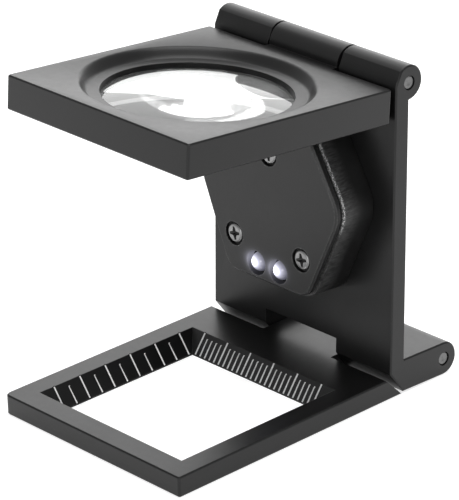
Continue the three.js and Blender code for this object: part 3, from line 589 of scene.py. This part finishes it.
# near black on the faces of the screws' cross recesses: painted shade where the recess is deep
RECESS = plain("recess_painted_shade", gray(0.003), gray(0.008), 0.5)
TIN = metal("tinned_wire", (0.7, 0.69, 0.66), 0.25)
CELL = metal("nickel_plate", (0.64, 0.62, 0.58), 0.22)
BRASS = metal("spring_brass", (0.72, 0.52, 0.22), 0.3)
SHEET = metal("switch_sheet", (0.5, 0.5, 0.51), 0.35)
PAINT = white_paint("scale_white_paint", 0.75, 0.9)
FAINT_PAINT = white_paint("scale_worn_paint", 0.4, 0.7)
BOARD = plain("solder_resist", (0.01, 0.075, 0.03, 1), (0.015, 0.1, 0.04, 1), 0.35)
CHIP = plain("chip_glaze", gray(0.012), gray(0.03), 0.4, 6.0)
RED = plain("red_insulation", (0.38, 0.01, 0.01, 1), (0.5, 0.015, 0.012, 1), 0.4)
BLACK_WIRE = plain("black_insulation", gray(0.01), gray(0.02), 0.4)
GLASS = lens_glass()
GROUND_GLASS = ground_glass()


def lamp_axis(side):
    """Middle of a lamp's axis and the height of its tip, in the housing's millimetres."""
    low, high = local_box("led_" + side, LAMP)
    return (low.x + high.x) / 2, (low.y + high.y) / 2, high.z


def lamp_light(side):
    """Place in the rest frame that a lit lamp looks brightest around."""
    x, y, tip = lamp_axis(side)
    return LAMP @ (Vector((x, y, tip)) + Vector(GLOW_ASIDE))


LAMPS = [lamp_light("left"), lamp_light("right")]
COVER = cover_plastic()
HOUSING = housing_plastic()
EPOXY = led_epoxy()

carried = {
    "base_frame": METAL, "upright_frame": METAL, "lens_plate": METAL,
    "base_hinge_pin": STEEL, "lens_hinge_pin": STEEL,
    "led_housing": HOUSING, "led_cover": COVER, "lens_retaining_ring": PLASTIC,
    "switch_slider": PLASTIC, "switch_body": SHEET,
    "cover_screw_left": ZINC, "cover_screw_right": ZINC, "cover_screw_top": ZINC,
    "housing_screw_left": ZINC, "housing_screw_right": ZINC,
    "led_left_lead_outer": TIN, "led_left_lead_inner": TIN,
    "led_right_lead_inner": TIN, "led_right_lead_outer": TIN,
    "circuit_board": BOARD, "resistor": CHIP,
    "coin_cell_rear": CELL, "coin_cell_front": CELL,
    "battery_contact_rear": BRASS, "battery_contact_front": BRASS,
    "wire_switch_board": RED, "wire_switch_battery": BLACK_WIRE,
    "lens": GLASS, "led_left": TIN, "led_right": TIN,
}
shading = smooth_by_angle("smooth_to_28_degrees", 28)
for name, material in carried.items():
    node = nodes[name]
    node.data.materials.clear()
    node.data.materials.append(material)
    modifier = node.modifiers.new("shading", "NODES")
    modifier.node_group = shading


# ----------------------------------------------------------------------- lens
def lens_profile(side):
    """(radius, height) from the middle to the rim, on the upper (+1) or lower (-1) face."""
    edge = LENS_TOP if side > 0 else LENS_LOW
    sphere = (LENS_R ** 2 + LENS_SAG ** 2) / (2 * LENS_SAG)
    points = []
    for i in range(LENS_STEPS):
        r = LENS_R * i / LENS_STEPS
        rise = math.sqrt(sphere ** 2 - r ** 2) - (sphere - LENS_SAG)
        points.append((r, edge + side * rise))
    points.append((LENS_R - LENS_RIM, edge + side * LENS_RIM_SLOPE))
    return points


def make_lens():
    rim = [(LENS_R, LENS_LOW + LENS_RIM), (LENS_R, LENS_TOP - LENS_RIM)]
    mesh = turned(lens_profile(-1) + rim + lens_profile(1)[::-1], LENS_SEGMENTS)
    place = LENS @ Matrix.Translation((0, LENS_Y, 0))
    piece = new_piece("lens_glass", mesh, place, "lens_plate", (GLASS, GROUND_GLASS),
                      smooth=35)
    inverse = place.inverted()
    for face in piece.data.polygons:
        middle = inverse @ face.center
        if math.hypot(middle.x, middle.y) > LENS_R - GROUND_REACH:
            face.material_index = 1
    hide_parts("lens")


make_lens()


# --------------------------------------------------------------- scale paint
def paint_line(mesh, place, length, hooked):
    """White paint along one wall of an engraved line, and round its end if it is hooked; the
    one-sided shape is a painted highlight of the lit wall.
    """
    half = TICK_WIDTH / 2 - PAINT_INSET
    end = length - TICK_WIDTH / 2
    outline = [(half - PAINT_WIDTH, PAINT_START), (half, PAINT_START)]
    if hooked:
        turn = [math.radians(HOOK_END) * i / HOOK_STEPS for i in range(HOOK_STEPS + 1)]
        inner = half - HOOK_WIDTH
        outline += [(half * math.cos(t), end + half * math.sin(t)) for t in turn]
        outline += [(inner * math.cos(t), end + inner * math.sin(t)) for t in turn[::-1]]
    else:
        outline += [(half, length), (half - PAINT_WIDTH, length)]
    outline = [(-x, y) for x, y in outline[::-1]]
    bottom = [mesh.verts.new(place @ Vector((x, y, PAINT_LOW))) for x, y in outline]
    top = [mesh.verts.new(place @ Vector((x, y, PAINT_HIGH))) for x, y in outline]
    mesh.faces.new(top)
    mesh.faces.new(bottom[::-1])
    count = len(outline)
    for i in range(count):
        j = (i + 1) % count
        mesh.faces.new((bottom[i], bottom[j], top[j], top[i]))


def scale_paint(name, turn, step, long_every, paint):
    """Paint of all lines on one bevel of the window, `turn` round from the rear one."""
    mesh = bmesh.new()
    slope = math.hypot(BEVEL_RUN, BEVEL_DROP)
    tilt = Matrix.Rotation(math.atan2(BEVEL_DROP, BEVEL_RUN), 4, "X")
    count = round(SCALE_LONG / step)
    for i in range(count + 1):
        short = i % long_every > 0
        length = slope * SHORT_TICK if short else slope - LONG_TICK_END
        along = -SCALE_LONG / 2 + i * step
        at = Matrix.Translation((along, WINDOW / 2, LIP_HIGH))
        paint_line(mesh, Matrix.Rotation(turn, 4, "Z") @ at @ tilt, length, short)
    bmesh.ops.recalc_face_normals(mesh, faces=mesh.faces)
    new_piece(name, mesh, BASE, "base", (paint,), smooth=30)


scale_paint("scale_lines_rear", 0, 1, 5, FAINT_PAINT)
scale_paint("scale_lines_left", math.pi / 2, 2.5, 2, PAINT)


# ------------------------------------------------------------------ led lamps
def led_piece(side):
    """Epoxy dome with its flange."""
    name = "led_" + side
    low, high = local_box(name, LAMP)
    x, y, tip = lamp_axis(side)
    flange = (high.x - low.x) / 2
    r = flange - FLANGE_LIP
    dome = tip - r
    points = [(0, low.z), (flange - FLANGE_BEVEL, low.z), (flange, low.z + FLANGE_BEVEL),
              (flange, low.z + FLANGE_HIGH - FLANGE_BEVEL),
              (flange - FLANGE_BEVEL, low.z + FLANGE_HIGH),
              (r, low.z + FLANGE_HIGH + FLANGE_STEP)]
    points += [(r * math.cos(t), dome + r * math.sin(t))
               for t in (math.pi / 2 * i / DOME_STEPS for i in range(DOME_STEPS))]
    points.append((0, dome + r))
    place = LAMP @ Matrix.Translation((x, y, 0))
    piece = new_piece("led_dome_" + side, turned(points, ROUND_SEGMENTS), place, "upright",
                      (EPOXY,), smooth=35)
    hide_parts(name)


led_piece("left")
led_piece("right")


# --------------------------------------------------------------- pins and screws
def pin_piece(name, node, place, body):
    """Turned pin with chamfered, dimpled ends."""
    end = HALF_WIDTH - PIN_END
    half = [(r, end - depth) for r, depth in PIN_PROFILE]
    points = [(r, -z) for r, z in half] + half[::-1]
    across = place @ Matrix.Rotation(math.pi / 2, 4, "Y")
    piece = new_piece(name, turned(points, ROUND_SEGMENTS), across, body, (STEEL,),
                      smooth=30)
    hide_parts(node)


pin_piece("hinge_pin_lens", "lens_hinge_pin",
          UPRIGHT @ Matrix.Translation((0, TOP_PIN_Y, PIN_SPACING)), "upright")
pin_piece("hinge_pin_base", "base_hinge_pin",
          BASE @ Matrix.Translation((0, KNUCKLE_Y, KNUCKLE_R)), "base")


def cross_outline(scale):
    """Outline of a cross recess: arms that narrow outwards and a flared middle."""
    points = []
    for quarter in range(4):
        c, s = math.cos(quarter * math.pi / 2), math.sin(quarter * math.pi / 2)
        points += [((x * c - y * s) * scale, (x * s + y * c) * scale)
                   for x, y in RECESS_ARM]
    return points


def screw_mesh():
    """Pan-headed screw about Z, its head resting at z = 0, with a cross recess whose faces
    have the second material: painted shade in the recess."""
    core = SCREW_SHANK - THREAD_DEPTH
    points = [(0, -SCREW_LONG), (SCREW_TIP, -SCREW_LONG)]
    for i in range(SCREW_THREADS):
        z = -SCREW_LONG + THREAD_START + THREAD_LONG * i / SCREW_THREADS
        points += [(core, z), (SCREW_SHANK, z + THREAD_CREST)]
    points += [(core, -SCREW_NECK), (core, 0), *HEAD_PROFILE]
    mesh = turned(points, ROUND_SEGMENTS)
    rim = [edge for edge in mesh.edges if edge.is_boundary]
    rings = [[mesh.verts.new((x, y, SCREW_HEAD - depth)) for x, y in cross_outline(scale)]
             for depth, scale in RECESS_RINGS]
    for low, high in zip(rings, rings[1:]):
        for i in range(len(low)):
            j = (i + 1) % len(low)
            mesh.faces.new((low[i], low[j], high[j], high[i])).material_index = 1
    mesh.faces.new(rings[-1]).material_index = 1
    mouth = [edge for edge in mesh.edges if edge.is_boundary and edge not in rim]
    bmesh.ops.triangle_fill(mesh, use_beauty=True, edges=rim + mouth)
    bmesh.ops.recalc_face_normals(mesh, faces=mesh.faces)
    return mesh


def screw_pieces():
    for side in ("left", "right", "top"):
        node = "cover_screw_" + side
        low, high = local_box(node, LAMP)
        middle = (low + high) / 2
        place = LAMP @ Matrix.Translation((middle.x, middle.y, SCREW_SEAT)) \
            @ Matrix.Rotation(math.radians(SCREW_TURN), 4, "Z")
        piece = new_piece("screw_" + side, screw_mesh(), place, "upright", (ZINC, RECESS),
                          smooth=32)
        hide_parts(node)


screw_pieces()


# ---------------------------------------------------------------------- studio
def area_light(name, place, target, size, power):
    data = bpy.data.lights.new(name, "AREA")
    data.shape = "RECTANGLE"
    data.size, data.size_y = size
    data.energy = power
    lamp = bpy.data.objects.new(name, data)
    lamp.location = place
    lamp.rotation_mode = "QUATERNION"
    lamp.rotation_quaternion = (Vector(target) - Vector(place)).to_track_quat("-Z", "Y")
    scene.collection.objects.link(lamp)


def studio():
    """White world, brighter to the camera than as a light, soft lights and a paper floor."""
    world = bpy.data.worlds.new("studio")
    world.use_nodes = True
    tree = world.node_tree
    background = tree.nodes["Background"]
    path = tree.nodes.new("ShaderNodeLightPath")
    seen = tree.nodes.new("ShaderNodeMapRange")
    seen.inputs["To Min"].default_value = WORLD_LIGHT
    seen.inputs["To Max"].default_value = 1.0
    tree.links.new(path.outputs["Is Camera Ray"], seen.inputs["Value"])
    tree.links.new(seen.outputs["Result"], background.inputs["Strength"])
    background.inputs["Color"].default_value = (1, 1, 1, 1)
    scene.world = world
    for light in AREA_LIGHTS:
        area_light(*light)
    mesh = bmesh.new()
    bmesh.ops.create_grid(mesh, x_segments=8, y_segments=8, size=FLOOR_HALF)
    data = bpy.data.meshes.new("floor")
    mesh.to_mesh(data)
    mesh.free()
    data.materials.append(floor_paper())
    floor = bpy.data.objects.new("floor", data)
    floor.location.z = -FLOOR_BELOW * MM
    scene.collection.objects.link(floor)
    scene.view_settings.view_transform = "Standard"
    scene.view_settings.look = "None"


studio()
